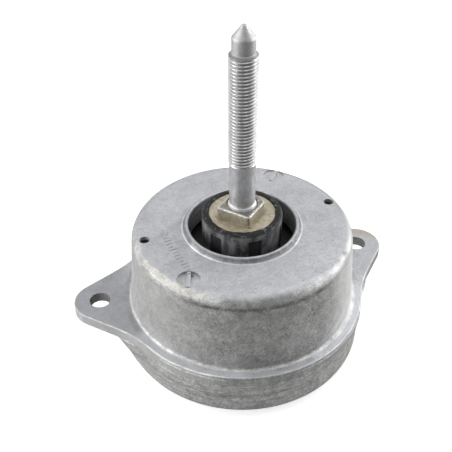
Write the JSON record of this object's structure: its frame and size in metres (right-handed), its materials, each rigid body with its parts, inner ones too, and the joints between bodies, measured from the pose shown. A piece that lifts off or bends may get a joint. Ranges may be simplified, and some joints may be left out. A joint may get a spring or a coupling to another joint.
{
  "type": "hydraulic engine mount",
  "caption": "Cast alloy bell and cup with two bolt ears, holding a rubber-sprung core that carries a long threaded stud with a square boss.",
  "frame": {"origin": "on the stud's axis at the underside of the foot", "axes": "+Z along the stud towards its tip; the two ears mirror each other across YZ, swept to +Y"},
  "size_m": [0.152, 0.1112, 0.1575],
  "materials": {
    "cast_alloy": "as-cast, tumbled",
    "inner_alloy": "as-cast",
    "zinc_steel": "zinc plated, rolled thread",
    "passivated_steel": "zinc plated, straw passivated",
    "inner_steel": "phosphated",
    "spring_rubber": "matt moulded",
    "collar_rubber": "moulded, dusty from storage"
  },
  "bodies": {
    "housing": {"upper_housing": "cast_alloy", "lower_housing": "cast_alloy", "spring_ring": "inner_steel", "main_spring": "spring_rubber", "channel_top": "inner_alloy", "channel_base": "inner_alloy", "decoupler": "spring_rubber", "channel_rivets": "inner_steel", "rim_seal": "spring_rubber", "diaphragm_ring": "inner_steel", "diaphragm": "spring_rubber", "vent_plug": "inner_steel", "bump_pad": "spring_rubber"},
    "core": {"stud": "zinc_steel", "core_head": "passivated_steel", "rubber_collar": "collar_rubber", "core_cone": "inner_alloy", "rebound_plate": "inner_steel", "rebound_buffer": "spring_rubber"}
  },
  "joints": [
    {"name": "core_travel", "type": "slide", "parent": "housing", "child": "core", "axis": [0, 0, 1], "range_m": [-0.005, 0.004], "stiffness_N_per_m": 150000, "deforming": ["main_spring"]}
  ]
}
